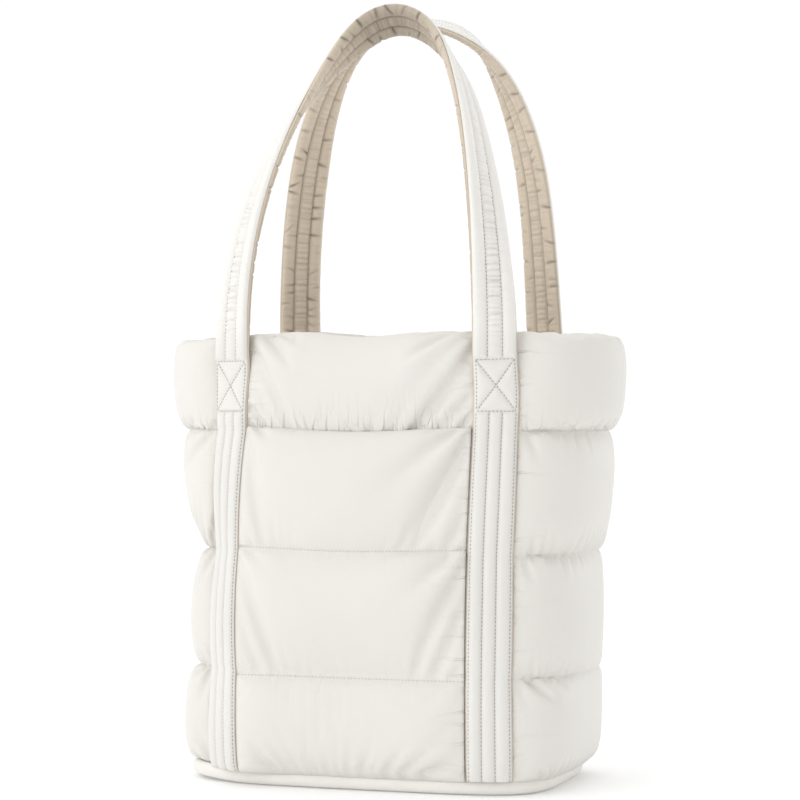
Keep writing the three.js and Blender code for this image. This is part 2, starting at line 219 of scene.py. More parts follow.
def stitched_ring(z):
    """Stitched line at a height: points, normals, distance past a strap and corner offset."""
    *oval, drift = section(z)
    right = side_points(oval, STRAP_OUTER + drift, STRAP_OUTER + drift)
    left = -side_points(oval, STRAP_OUTER - drift, -front_place(z, -STRAP_OUTER))
    front = plan_points(oval, -plan_angle(oval, front_place(z, ACROSS)))
    back = plan_points(oval, plan_angle(oval, -ACROSS + drift))
    points = np.concatenate([front, right[1:-1], back, left[1:-1]])
    past = np.empty(COLUMNS)
    past[FRONT] = np.abs(np.abs(ACROSS) - STRAP_CENTRE) - STRAP_SPAN / 2
    past[BACK] = past[FRONT]
    edges = np.stack([right[0], right[-1], left[0], left[-1]])
    for side in (RIGHT, LEFT):
        past[side] = np.min(np.linalg.norm(points[side, None] - edges, axis=-1), axis=1)
    corner = np.zeros(COLUMNS)
    corner[FRONT] = corner_offset(z, ACROSS + STRAP_CENTRE)
    round_side = -STRAP_SPAN / 2 - np.linalg.norm(points[LEFT] - left[-1], axis=1)
    corner[LEFT] = corner_offset(z, round_side)
    return points, ring_normals(points), past, corner


def turned_from(points, centre, spread):
    """Share that falls off with the turn of points round the bag from an angle."""
    angle = np.degrees(np.arctan2(points[:, 1], points[:, 0]))
    turn = (angle - centre + 180.0) % 360.0 - 180.0
    return bell(turn / spread)


def end_lift(x, z):
    """Rise of the foot towards the slack end at -X."""
    return END_LIFT * ease((LIFT_FROM - x) / LIFT_REACH) * (1.0 - ease(z / LIFT_HEIGHT))


def slump(points, z):
    """Push of the slack at points of the wall, and the puff that it leaves."""
    push = np.zeros(len(points))
    puff = np.ones(len(points))
    for centre, height, spread, rise, move, taut in SLUMPS:
        reach = turned_from(points, centre, spread) * math.exp(-(((z - height) / rise) ** 2))
        push += move * reach
        puff -= taut * reach
    return push, puff


def middle_share(x):
    """Share that falls smoothly from the middle of the front to the straps."""
    return np.cos(np.pi / 2 * np.clip(x / STRAP_INNER, -1.0, 1.0)) ** 2


def mouth_share(x):
    """Share of the drop behind the pocket's mouth, full between the straps."""
    return 1.0 - np.clip(np.abs(x) / STRAP_INNER, 0.0, 1.0) ** MOUTH_POWER


def puff_share(past, row):
    """Share of a row's puff at each column: less under straps and behind the pocket."""
    full = np.ones(COLUMNS)
    full[FRONT] = BEHIND_POCKET if row < ROWS - 1 else OVER_POCKET
    return UNDER_STRAP + (full - UNDER_STRAP) * ease(past / PUFF_RETURN)


def lobe_at(row, rise):
    """Share of a row's puff up its rise: full between its seams, rounder in the top row."""
    if row == ROWS - 1:
        return 2.0 * math.sqrt(max(rise * (1.0 - rise), 0.0))
    return math.sin(math.pi * rise ** (1.0 if row else LOW_SKEW)) ** LOBE_POWER


def level_height(row, rise):
    return SEAM_Z[row] + (SEAM_Z[row + 1] - SEAM_Z[row]) * rise


def level_normals(z):
    """Outward normals of the wall at a height, in space."""
    return np.column_stack([stitched_ring(z)[1], np.zeros(COLUMNS)])


def wall_level(row, rise, side=1):
    """Points of the wall up a row's rise; side is 1 for its outer face and -1 for the inner."""
    z = level_height(row, rise)
    lobe = lobe_at(row, rise)
    points, normals, past, corner = stitched_ring(z)
    push, puff = slump(points, z)
    push += corner
    if side > 0:
        offset = push + SEAM_HALF_THICKNESS + ROW_PUFF[row] * puff_share(past, row) * puff * lobe
    else:
        offset = push - SEAM_HALF_THICKNESS - INNER_PUFF * lobe
    placed = points + normals * offset[:, None]
    height = z + end_lift(placed[:, 0], z)
    behind = math.exp(-(((z - SEAM_Z[-2]) / MOUTH_REACH) ** 2))
    height[FRONT] -= MOUTH_DROP * mouth_share(ACROSS) * behind
    if row == ROWS - 1:
        sag = RIM_SAG * bell((ACROSS - RIM_DIP) / DIP_REACH) - RIM_RISE
        height[FRONT] -= sag * mouth_share(ACROSS) * ease(rise)
        for centre, spread, fall in RIM_FALLS:
            height -= fall * turned_from(points, centre, spread) * ease(rise)
    return np.column_stack([placed, height])


def row_rings(row, rises, side=1):
    """Rings of points of one face of a row, at shares of its rise."""
    return np.array([wall_level(row, rise, side) for rise in rises])


def grid_faces(rows, columns, wrap):
    """Quads of a grid of points, closed round its columns where it wraps."""
    steps = columns if wrap else columns - 1
    r, c = np.meshgrid(np.arange(rows - 1), np.arange(steps), indexing="ij")
    n = (c + 1) % columns
    low, high = r * columns, (r + 1) * columns
    return np.stack([low + c, low + n, high + n, high + c], axis=-1).reshape(-1, 4)


def capped_faces(rings, around):
    """Faces of a tube over rings of points, with flat ends."""
    faces = grid_faces(rings, around, True).tolist()
    faces.append(list(range(around))[::-1])
    faces.append(list(range((rings - 1) * around, rings * around)))
    return faces


def mesh_object(name, points, faces, material=None, pinch=None):
    """A smooth mesh; pinch holds two marks at each point for its material."""
    mesh = bpy.data.meshes.new(name)
    mesh.from_pydata((np.asarray(points) * MM).tolist(), [], [list(face) for face in faces])
    mesh.shade_smooth()
    piece = bpy.data.objects.new(name, mesh)
    bpy.context.collection.objects.link(piece)
    if material:
        mesh.materials.append(material)
    if pinch is not None:
        corners = np.empty(len(mesh.loops), int)
        mesh.loops.foreach_get("vertex_index", corners)
        mesh.uv_layers.new(name="pinch").data.foreach_set("uv", pinch[corners].ravel())
    return piece


def dress(piece, node):
    """Hangs a padded piece on the root and hides the solid it stands for."""
    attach(piece, "root")
    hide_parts(node)


# Cloth of the padded pieces
SETTLE_STEPS = 90
SETTLE_ROUNDS = 6
DRAG = 0.9
JITTER = 0.15
SHEAR_HOLD = 0.5
BEND = 0.1
PRESSURE = 0.015
SWELL_SPREAD = 9.0
SWELL_HELD = 0.8
BELL_REACH = 3
GATHER_PITCH = 40.0
GATHER_REACH = 30.0
GATHER_LIMIT = 3.0
FOOT_REACH = 14.0
EDGE_REACH = 28.0

# Random waves: range of their lengths in pitches, spare count of them and spread of their heights
WAVE_LENGTHS = (0.6, 1.4)
WAVE_SPARE = 1.8
WAVE_HEIGHT = 0.7


def joined(count, start, step):
    """Slices of a row of points and of those a step on, which share no point."""
    return slice(start, count - step, 2 * step), slice(start + step, count, 2 * step)


def threads(rows, columns):
    """Pairs of slices of a grid whose points are joined, and how stiffly."""
    every, left, right = slice(None), slice(0, -1), slice(1, None)
    links = []
    for step, hold in ((1, 1.0), (2, BEND)):
        for start in range(2 * step):
            low, high = joined(rows, start, step)
            before, after = joined(columns, start, step)
            links.append(((every, before), (every, after), hold))
            links.append(((low, every), (high, every), hold))
            if step == 1:
                links.append(((low, left), (high, right), SHEAR_HOLD))
                links.append(((low, right), (high, left), SHEAR_HOLD))
    return links


def settle(start, cut, pinned):
    """Grids of cloth, swelled and buckled; cut is each grid as it lay before sewing."""
    free = np.where(pinned, 0.0, 1.0)[..., None]
    jitter = np.random.default_rng(SEED).normal(0.0, JITTER, start.shape)
    now = start + free * jitter
    speed = np.zeros_like(now)
    links = []
    for first, second, hold in threads(*start.shape[1:3]):
        a, b = (slice(None), *first), (slice(None), *second)
        rest = np.linalg.norm(cut[b] - cut[a], axis=-1, keepdims=True)
        both = np.maximum(free[a] + free[b], 1.0)
        links.append((a, b, rest, hold == BEND, hold * free[a] / both, hold * free[b] / both))
    for _ in range(SETTLE_STEPS):
        normal = unit(np.cross(np.gradient(now, axis=2), np.gradient(now, axis=1)))
        ahead = now + free * (speed + PRESSURE * normal)
        for _ in range(SETTLE_ROUNDS):
            for a, b, rest, bends, first_share, second_share in links:
                gap = ahead[b] - ahead[a]
                length = np.linalg.norm(gap, axis=-1, keepdims=True)
                over = np.minimum(length - rest, 0.0) if bends else length - rest
                move = gap * (over / length)
                ahead[a] += first_share * move
                ahead[b] -= second_share * move
        speed = DRAG * (ahead - now)
        now = ahead
    return now


def ripple(places, pitch, seed):
    """Smooth random waves of about unit height along a length."""
    draw = np.random.default_rng(seed)
    span = places.max() - places.min() + 2.0 * pitch
    steps = draw.uniform(*WAVE_LENGTHS, int(span / pitch * WAVE_SPARE)) * pitch
    knots = places.min() - pitch + np.cumsum(steps)
    heights = draw.normal(0.0, WAVE_HEIGHT, len(knots))
    index = np.clip(np.searchsorted(knots, places) - 1, 0, len(knots) - 2)
    share = ease((places - knots[index]) / (knots[index + 1] - knots[index]))
    return heights[index] * (1.0 - share) + heights[index + 1] * share


def smooth(values, spread, axis=0):
    """Values smoothed along an axis by a bell of that spread in steps, ends held."""
    reach = int(BELL_REACH * spread) + 1
    weights = np.exp(-0.5 * (np.arange(-reach, reach + 1) / spread) ** 2)
    weights /= weights.sum()
    ends = [(reach, reach) if k == axis else (0, 0) for k in range(values.ndim)]
    padded = np.pad(values, ends, mode="edge")
    return np.apply_along_axis(np.convolve, axis, padded, weights, "valid")


def flat_cut(grid, fit, seed):
    """A grid of cloth as it lay flat before sewing, with the spare cloth of its fit."""
    spare, at_seams, at_foot, at_sides, first, last, reach = fit
    across = run_length(grid[len(grid) // 2])
    up = run_length(grid[:, grid.shape[1] // 2])
    waves = np.clip(1.0 + ripple(across, GATHER_PITCH, seed), 0.0, GATHER_LIMIT)
    gather = spare + at_seams * np.exp(-from_ends(up) / GATHER_REACH) + at_foot * np.exp(-up / FOOT_REACH)
    x = np.concatenate([[0.0], np.cumsum(np.diff(across) * waves[1:])])
    tall = np.linalg.norm(np.diff(grid, axis=0), axis=2).sum(axis=0)
    taller = tall * (1.0 + at_sides * np.exp(-from_ends(across) / EDGE_REACH))
    pull = first * (1.0 - ease(across / reach)) + last * (1.0 - ease((across[-1] - across) / reach))
    cut = np.zeros_like(grid)
    cut[:, :, 0] = across[None] + gather[:, None] * x[None]
    cut[:, :, 2] = (up / up[-1])[:, None] * taller[None] - pull[None]
    return cut


def away(count, pinned):
    """Share of full freedom at each of a row of points, by its steps from the pinned ones."""
    steps = np.abs(np.arange(count)[:, None] - np.arange(count)[list(pinned)]).min(axis=1)
    return ease(steps / SWELL_SPREAD)


def creased(grids, fits, sewn=(0, -1), calmed=1.0):
    """Grids of cloth, pinned at their sides and sewn rows, with settled folds, calmed in the corners."""
    grids = np.array(grids)
    cuts = np.array([flat_cut(grid, fit, SEED + k) for k, (grid, fit) in enumerate(zip(grids, fits))])
    pinned = np.zeros(grids.shape[:3], bool)
    pinned[:, list(sewn)] = True
    pinned[:, :, [0, -1]] = True
    folds = settle(grids, cuts, pinned) - grids
    swell = smooth(smooth(folds, SWELL_SPREAD, 1), SWELL_SPREAD, 2)
    by_row, by_column = away(grids.shape[1], sewn)[:, None], away(grids.shape[2], (0, -1))[None]
    apex_shade = SWELL_HELD * by_row * by_column
    calm = 1.0 - calmed * (1.0 - by_row) * (1.0 - by_column)
    return grids + calm[None, :, :, None] * (folds - apex_shade[None, :, :, None] * swell)


# Quilted body
STRAP_PINCH = 14.0
SEAM_PINCH = 9.0
LEFT_PINCH = 0.3
SEAM_SHARE = [0.35, 0.35, 0.35, 0.9]
FOOT_SHARE = 0.3
RIM_CALM = 0.7
RIM_CALM_STEPS = 10.0
INNER_CALM_STEPS = 12.0
EVEN_RISES = np.linspace(0.0, 1.0, ROW_STEPS + 1)
TOP_RISES = (1.0 - np.cos(np.linspace(0.0, math.pi, ROW_STEPS + RIM_STEPS + 1))) / 2.0

# Spare cloth as shares: all over, at the seams, at the foot and at the sides;
# then how far the first and the last side are drawn up, and over what reach
ROW_FITS = {
    "right": (0.003, 0.004, 0.0, 0.006, 0.3, 0.3, 30.0),
    "left": (0.003, 0.008, 0.0, 0.005, 1.0, 0.0, 30.0),
    "back": (0.004, 0.012, 0.0, 0.02, 1.5, 1.5, 30.0),
}
TOP_FITS = {
    "front": (0.008, 0.0, 0.03, 0.02, 2.0, 6.0, 80.0),
    "back": (0.008, 0.0, 0.02, 0.02, 3.0, 3.0, 60.0),
    "right": (0.001, 0.0, 0.012, 0.015, 1.5, 1.5, 40.0),
    "left": (0.001, 0.0, 0.012, 0.015, 1.5, 1.5, 40.0),
}
POCKET_FIT = (0.003, 0.0, 0.05, 0.016, 0.5, 4.5, 55.0)


def crease_spans(rows, sides, fits, kept):
    """Gives rows of the wall the kept share of their settled folds at some sides."""
    spans = [(row, side) for row in rows for side in sides]
    grids = creased([row[:, SPANS[side]] for row, side in spans], [fits[side] for _, side in spans])
    for (row, side), grid in zip(spans, grids):
        row[:, SPANS[side]] += kept * (grid - row[:, SPANS[side]])


def puffed_rows():
    """Rows of the outer wall below the top row, each as rings from seam to seam."""
    rows = [row_rings(row, EVEN_RISES) for row in range(ROWS - 1)]
    for sides in (("right", "left"), ("back",)):
        crease_spans(rows, sides, ROW_FITS, 1.0)
    return rows


def top_row():
    """The swelled top row: up the outer wall, over the rim and down the inner face."""
    row = ROWS - 1
    rings = np.concatenate([row_rings(row, TOP_RISES), row_rings(row, TOP_RISES[::-2], -1)])
    from_rim = np.abs(np.arange(len(rings)) - len(TOP_RISES))
    from_foot = np.arange(len(rings))[::-1]
    kept = (1.0 - RIM_CALM * np.exp(-from_rim / RIM_CALM_STEPS)) * ease(from_foot / INNER_CALM_STEPS)
    for sides in (("right", "left"), ("front", "back")):
        crease_spans([rings], sides, TOP_FITS, kept[:, None, None])
    return rings


def wall_pinch(row, rises):
    """How much the straps and the seams crease a row of the wall, at shares of its rise."""
    low, high = SEAM_Z[row], SEAM_Z[row + 1]
    past = stitched_ring((low + high) / 2.0)[2].clip(0.0)
    gap = rises if row == ROWS - 1 else np.minimum(rises, 1.0 - rises)
    by_strap = np.tile(np.exp(-past / STRAP_PINCH), (len(rises), 1))
    by_strap[:, LEFT] *= LEFT_PINCH
    from_seam = np.tile((gap * (high - low))[:, None], (1, COLUMNS))
    if row == ROWS - 1:
        from_seam[:, FRONT] = np.clip(from_seam[:, FRONT] - MOUTH_COVER * mouth_share(ACROSS), 0.0, None)
    by_seam = np.exp(-from_seam / SEAM_PINCH)
    if row == 0:
        by_seam[rises < 0.5] *= FOOT_SHARE
    return np.stack([by_strap, SEAM_SHARE[row] * by_seam], axis=-1)


def quilted_body(material):
    rows = puffed_rows()
    top = top_row()
    outer = np.concatenate([rows[0]] + [rings[1:] for rings in rows[1:]] + [top[1:]])
    pinch = [wall_pinch(row, EVEN_RISES[1 if row else 0:]) for row in range(ROWS - 1)]
    pinch.append(wall_pinch(ROWS - 1, TOP_RISES[1:]))
    rises = np.linspace(1.0, 0.0, INNER_STEPS + 1)[1:]
    inner = [row_rings(row, rises, -1) for row in reversed(range(ROWS - 1))]
    rings = np.concatenate([outer] + inner)
    plain = len(rings) - sum(len(part) for part in pinch)
    pinch = np.concatenate(pinch + [np.zeros((plain, COLUMNS, 2))])
    faces = grid_faces(len(rings) + 1, COLUMNS, True) % (len(rings) * COLUMNS)
    piece = mesh_object("quilted_body", rings.reshape(-1, 3), faces, material, pinch.reshape(-1, 2))
    dress(piece, "body_shell")


# Front pocket
POCKET_SEAM_THICKNESS = 3.0
POCKET_PUFF = 6.5
POCKET_SLOT = 3.5
POCKET_SAG = 3.5
POCKET_INSET = 1.2
POCKET_STEPS = 34
HEM_RISE = 2.6
HEM_POWER = 6
INSET_POWER = 9
SIDE_POWER = 6
SLOT_POWER = 4
FOOT_PINCH = 0.15
STITCH_PINCH = 0.2
LOW_FOLDS = 0.25
POCKET_CALM = 0.2
FOOT_STEPS = 14

# Rise of the pocket's seams over those of the wall, and their sag between the straps
SEAM_RISE = [0.0, -2.4, 4.2, 0.0, 0.0]
SEAM_SAG = [0.0, 0.0, 2.2, 0.0, 0.0]


def pocket_lobe(row, rise):
    """Share of the pocket's puff: its top row stays full up to the rolled hem."""
    if row < ROWS - 2 or rise < 0.5:
        return lobe_at(row, rise)
    return math.sqrt(1.0 - (2.0 * rise - 1.0) ** HEM_POWER)


def pocket_level(row, rise):
    """Points of the pocket's back and of its puffed front up a row's rise."""
    wall = wall_level(row, rise)[SPANS["front"]]
    z = level_height(row, rise)
    normals = level_normals(z)[SPANS["front"]]
    middle = middle_share(middle_across)
    edge = np.linspace(-1.0, 1.0, MIDDLE_COLUMNS + 1)
    wall[:, 0] -= POCKET_INSET * edge ** INSET_POWER
    wall[:, 2] = z + np.interp(z, SEAM_Z, SEAM_RISE) - np.interp(z, SEAM_Z, SEAM_SAG) * middle
    mouth = ((z - SEAM_Z[0]) / (SEAM_Z[-2] - SEAM_Z[0])) ** SLOT_POWER * middle
    clear = CLEARANCE + POCKET_SLOT * mouth
    puff = POCKET_PUFF * pocket_lobe(row, rise) * (1.0 - np.abs(edge) ** SIDE_POWER)
    depth = POCKET_SEAM_THICKNESS + puff
    if row == ROWS - 2:
        wall[:, 2] -= (POCKET_SAG * middle - HEM_RISE) * rise * rise
    return wall + normals * clear[:, None], wall + normals * (clear + depth)[:, None]


def pocket_pinch(rows):
    """How much the straps and the seams crease the pocket's front."""
    from_strap = STRAP_INNER - np.abs(middle_across)
    by_strap = np.exp(-from_strap / STRAP_PINCH) * np.where(middle_across > 0, 1.0, LEFT_PINCH)
    steps = np.arange(rows)
    seams = np.array([0, POCKET_STEPS, 2 * POCKET_STEPS])
    from_seam = np.abs(steps[:, None] - seams[None]).min(axis=1)
    by_seam = np.exp(-from_seam * (SEAM_Z[1] - SEAM_Z[0]) / POCKET_STEPS / SEAM_PINCH)
    by_seam *= np.where(steps < POCKET_STEPS // 2, FOOT_PINCH, STITCH_PINCH)
    return np.stack(np.broadcast_arrays(by_strap[None], by_seam[:, None]), axis=-1).reshape(-1, 2)


def slab(outer, inner):
    """Points and faces of a closed sheet between two grids of points."""
    rows, columns = outer.shape[:2]
    faces = grid_faces(rows, columns, False)
    offset = rows * columns
    index = np.arange(offset).reshape(rows, columns)
    border = np.concatenate([index[0, :-1], index[:-1, -1], index[-1, :0:-1], index[:0:-1, 0]])
    after = np.roll(border, -1)
    rim = np.stack([border + offset, after + offset, after, border], axis=-1)
    points = np.concatenate([outer.reshape(-1, 3), inner.reshape(-1, 3)])
    return points, np.concatenate([faces, faces[:, ::-1] + offset, rim])


def front_pocket(material):
    levels = []
    for row in range(ROWS - 1):
        turns = np.linspace(0.0, 1.0, POCKET_STEPS + 1)[1 if row else 0:]
        rises = (1.0 - np.cos(np.pi * turns)) / 2.0 if row == ROWS - 2 else turns
        levels += [pocket_level(row, rise) for rise in rises]
    back = np.array([level[0] for level in levels])
    front = np.array([level[1] for level in levels])
    steps = np.arange(len(front))
    low = 1.0 - (1.0 - LOW_FOLDS) * ease(steps / FOOT_STEPS)
    kept = np.where(steps < POCKET_STEPS, low, 1.0)
    sewn = (0, POCKET_STEPS, 2 * POCKET_STEPS, -1)
    folds = creased([front], [POCKET_FIT], sewn, POCKET_CALM)[0] - front
    front = front + kept[:, None, None] * folds
    pinch = pocket_pinch(len(front))
    points, faces = slab(front, back)
    piece = mesh_object("quilted_pocket", points, faces, material, np.concatenate([pinch, 0.0 * pinch]))
    dress(piece, "front_pocket")
    return front


# Base panel
BASE_MARGIN = 5.5
END_MARGIN = 2.0
LEFT_MARGIN = 11.0
BASE_COLUMNS = 480
BASE_SAMPLES = 4000
BASE_RIPPLE = 0.35
BASE_RIPPLE_PITCH = 9.0
BASE_RIPPLE_REACH = 6.0

# Section of the panel's edge: distance out from its margin and height
BASE_PROFILE = [
    (-60.0, 0.0), (-20.0, 0.0), (-11.0, 0.1), (-6.0, 0.6), (-3.0, 1.6), (-1.0, 3.2), (0.0, 5.6),
    (-0.2, 8.0), (-0.8, 10.2), (-1.8, 11.8), (-3.2, 12.8), (-5.0, 13.0), (-8.0, 12.4),
    (-14.0, 11.0), (-30.0, 11.0), (-60.0, 11.0),
]


def base_panel(material):
    dense = plan_points(section(SEAM_Z[0])[:3], np.linspace(-np.pi, np.pi, BASE_SAMPLES))
    length = run_length(dense)
    places = np.linspace(0.0, length[-1], BASE_COLUMNS, endpoint=False)
    plan = sample(places, length, dense)
    normals = ring_normals(plan)
    waves = BASE_RIPPLE * ripple(places, BASE_RIPPLE_PITCH, SEED)
    end = np.where(normals[:, 0] < 0.0, LEFT_MARGIN, END_MARGIN)
    margin = end + (BASE_MARGIN - end) * normals[:, 1] ** 2
    rings = []
    for inset, z in BASE_PROFILE:
        wave = waves * math.exp(-((inset / BASE_RIPPLE_REACH) ** 2))
        ring = plan + normals * (margin + inset + wave)[:, None]
        rings.append(np.column_stack([ring, z + end_lift(ring[:, 0], z)]))
    faces = capped_faces(len(rings), BASE_COLUMNS)
    piece = mesh_object("padded_base", np.concatenate(rings), faces, material)
    dress(piece, "base_panel")


# Straps
STRAP_WIDTH = 37.5
HALF_STRAP = STRAP_WIDTH / 2
STRAP_CLEARANCE = 0.7
LINING_THICKNESS = 1.2
FACE_FOOT = STRAP_CLEARANCE + LINING_THICKNESS + CLEARANCE
SEWN_TOP = 0.5
SEWN_STATION = 2.0
FREE_STATION = 0.9
RUN_SPREAD = 3.0
JOINT_SPREAD = 13.0
JOINT_REACH = 30.0

# Handles: rise over their feet, lean, and fullness upwards and outwards
HANDLES = {"front": (319.5, 88.0, 2.0, 2.0), "back": (324.0, 10.0, 2.8, 2.4)}
HANDLE_SAMPLES = 3000
HANDLE_SPREAD = 0.03
LEAN_POWER = 1.9
STAND_OFF = 2.5
STAND_OFF_RISE = 0.08

# Twist in degrees and move aside of each handle, at shares of its length
TWIST_SHARES = [0.0, 0.07, 0.17, 0.27, 0.38, 0.44, 0.5, 0.56, 0.62, 0.73, 0.83, 0.93, 1.0]
TWISTS = {
    "front": [18, 25, 37, 54, 78, 108, 134, 118, 90, 72, 52, 26, 16],
    "back": [14, 22, 28, 34, 58, 108, 106, 104, 80, 46, 40, 36, 14],
}
ASIDE = {
    "front": [0, -4, -5.5, -2, 5, 4.5, 0, 0, 0, -2, -1, 1, 0],
    "back": [0, -4, -4, -2.5, -2.5, -2, 0, -2, -4, -2.5, -2, -2.5, 0],
}

# Stitched lines across a strap, and the stitched box where a handle leaves the wall
EDGE_LINE = 16.2
INNER_LINE = 5.4
HANDLE_LINE = 6.3
BOX_FOOT = 319.5
BOX_TOP = 364.0


def sewn_levels():
    """Wall points and normals from the foot to the last sewn level."""
    points, normals = [], []
    for row in range(ROWS):
        top = 1.0 if row < ROWS - 1 else SEWN_TOP
        for rise in np.linspace(0.0, top, ROW_STEPS + 1)[1 if row else 0:]:
            points.append(wall_level(row, rise))
            normals.append(level_normals(level_height(row, rise)))
    return np.array(points), np.array(normals)


def leg_columns(side, first):
    """Wall columns under one leg of a strap, from its inner edge to its outer edge."""
    start = FRONT.start if side == "front" else BACK.start
    if first:
        return start + np.arange(STRAP_COLUMNS, -1, -1)
    return start + np.arange(FACE_COLUMNS - STRAP_COLUMNS - 1, FACE_COLUMNS)


def handle_path(side, feet, turned):
    """Middle line of a handle from foot to foot."""
    rise, lean, full_up, full_out = HANDLES[side]
    turn = np.linspace(0.0, np.pi, HANDLE_SAMPLES)
    up = np.sin(turn).clip(0.0) ** (2.0 / full_up)
    out = np.sign(np.cos(turn)) * np.abs(np.cos(turn)) ** (2.0 / full_out)
    toward = ease((1.0 - out) / 2.0)[:, None]
    foot = feet[0] * (1.0 - toward) + feet[1] * toward
    inward = lean * up ** LEAN_POWER - STAND_OFF * ease(up / STAND_OFF_RISE)
    path = np.column_stack([-STRAP_CENTRE * out, foot[:, 1] + inward, foot[:, 2] + rise * up])
    length = run_length(path)
    aside = np.interp(length / length[-1], TWIST_SHARES, ASIDE[side])[:, None]
    path[:, :1] += smooth(aside, HANDLE_SPREAD * len(path)) * turned[0]
    return path


def handle_stations(side, feet):
    """Points across the free run of a handle and their normals, leg to leg."""
    turned = np.array([-1.0, -1.0, 1.0]) if side == "back" else np.ones(3)
    path = handle_path(side, feet * turned, turned)
    length = run_length(path)
    count = int(length[-1] / FREE_STATION)
    shares = np.arange(2, count - 1) / count
    at = sample(shares * length[-1], length, path)
    along = unit(np.gradient(at, axis=0))
    outward = unit(np.cross([0.0, -1.0, 0.0], along))
    forward = np.cross(along, outward)
    twist = np.interp(shares, TWIST_SHARES, TWISTS[side])[:, None]
    twist = np.radians(smooth(twist, HANDLE_SPREAD * count))
    normal = forward * np.cos(twist) + outward * np.sin(twist)
    across = np.cross(normal, along)
    reach = np.linspace(-HALF_STRAP, HALF_STRAP, STRAP_COLUMNS + 1)
    points = at[:, None] + across[:, None] * reach[None, :, None]
    normals = np.repeat(normal[:, None], STRAP_COLUMNS + 1, axis=1)
    return points * turned, normals * turned


def strap_stations(side, levels):
    """Points and normals across a strap, their places along it, and the ends of its stitched box."""
    points, normals = levels
    legs = [leg_columns(side, first) for first in (True, False)]
    feet = np.array([points[-1, columns[STRAP_COLUMNS // 2]] for columns in legs])
    free, free_normals = handle_stations(side, feet)
    path = np.concatenate([points[:, legs[0]], free, points[::-1, legs[1]]])
    facing = np.concatenate([normals[:, legs[0]], free_normals, normals[::-1, legs[1]]])
    length = run_length(path[:, STRAP_COLUMNS // 2])
    joint = length[len(points) - 1]
    total = length[-1]
    grid = np.arange(0.0, total, FREE_STATION)
    even = sample(grid, length, np.concatenate([path, facing], axis=-1).reshape(len(path), -1))
    from_joint = np.minimum(np.abs(grid - joint), np.abs(total - grid - joint))
    soft = bell(from_joint / JOINT_REACH)[:, None]
    even = smooth(even, RUN_SPREAD) * (1.0 - soft) + smooth(even, JOINT_SPREAD) * soft
    box = [joint + z - points[-1, legs[0][0], 2] for z in (BOX_FOOT, BOX_TOP)]
    sewn = np.arange(0.0, box[0], SEWN_STATION)
    places = np.concatenate([sewn, np.arange(box[0], total - box[0], FREE_STATION), total - sewn[::-1]])
    run = sample(places, grid, even).reshape(len(places), STRAP_COLUMNS + 1, 6)
    return run[:, :, :3], unit(run[:, :, 3:]), places, box


# Quilting of a strap's face: heights at its seams, at its fullest and at its flat edge
LOW = 1.0
HIGH = 4.6
FLANGE = 1.2
SEWN_ROUND = 5.0
BOX_ROUND = 7.0
BOX_PUFF = 0.7
HANDLE_ROUND = 6.0
EDGE_ROUND = 1.2
EDGE_LEFT = 0.15

# Shares of the half width on the sewn run and on the handle, and the run between them
SEWN_WIDTH = 0.965
HANDLE_WIDTH = 0.97
LINING_WIDTH = 1.01
WIDTH_LEAD = 1.0
WIDTH_FADE = 5.0

# Folds across the middle channel of a strap and its side ones: pitch, width, greatest depth and slant
FACE_RIBS = [(3.8, 1.2, 1.9, 0.05), (4.2, 1.1, 0.4, 0.06)]
FACE_SLITS = [(40.0, 1.4, 0.8, 0.1), (14.0, 1.4, 0.9, 0.2)]
LINING_RIBS = [(4.2, 1.4, 0.9, 0.05), (4.6, 1.3, 0.4, 0.1)]
LINING_SLITS = [(45.0, 1.3, 1.0, 0.1), (13.0, 1.6, 2.4, 0.3)]
FOLD_STEPS = (0.5, 1.5)
FOLD_SPARE = 1.5
FOLD_DEPTHS = (0.3, 1.0)
STEEP = 0.5
TAPER = 1.15
EDGE_FOLDS = 0.55
FACE_SEEDS = {"front": SEED + 100, "back": SEED + 200}
LINING_SEEDS = {"front": SEED + 300, "back": SEED + 400}
SLIT_SEED = 50


def pillow(distance, reach):
    """Share of full height at a distance from a stitched line."""
    return np.sqrt(1.0 - (1.0 - np.clip(distance / reach, 0.0, 1.0)) ** 2)


def strap_width(from_foot, box, sewn, free):
    """Share of the half width that a strap's layer has on its sewn run and on the handle."""
    return sewn + (free - sewn) * ease((from_foot - box[1] + WIDTH_LEAD) / WIDTH_FADE)


def face_height(across, edge, from_foot, box):
    """Height of a strap's quilted face over its flat back, from its stitched lines, and its puff."""
    box_foot, box_top = box
    side = np.abs(across)
    sewn = np.minimum(np.abs(side - EDGE_LINE), np.abs(side - INNER_LINE))
    sewn = np.minimum(sewn, np.abs(box_foot - from_foot))
    slant = (2.0 * EDGE_LINE) / (box_top - box_foot)
    run = from_foot - (box_foot + box_top) / 2.0
    crossing = np.abs(side - slant * np.abs(run)) / math.hypot(1.0, slant)
    boxed = np.minimum(np.abs(EDGE_LINE - side), np.minimum(from_foot - box_foot, box_top - from_foot))
    boxed = np.minimum(boxed, crossing)
    free = np.minimum(np.minimum(np.abs(side - HANDLE_LINE), edge), np.abs(from_foot - box_top))
    upper = np.where(from_foot < box_top, BOX_PUFF * pillow(boxed, BOX_ROUND), pillow(free, HANDLE_ROUND))
    puff = np.where(from_foot < box_foot, pillow(sewn, SEWN_ROUND), upper)
    height = LOW + (HIGH - LOW) * puff
    flange = (from_foot < box_top) & (side > EDGE_LINE)
    puff = np.where(flange, 0.0, puff)
    height = np.where(flange, np.minimum(height, FLANGE), height)
    return height * pillow(edge + EDGE_LEFT, EDGE_ROUND), puff


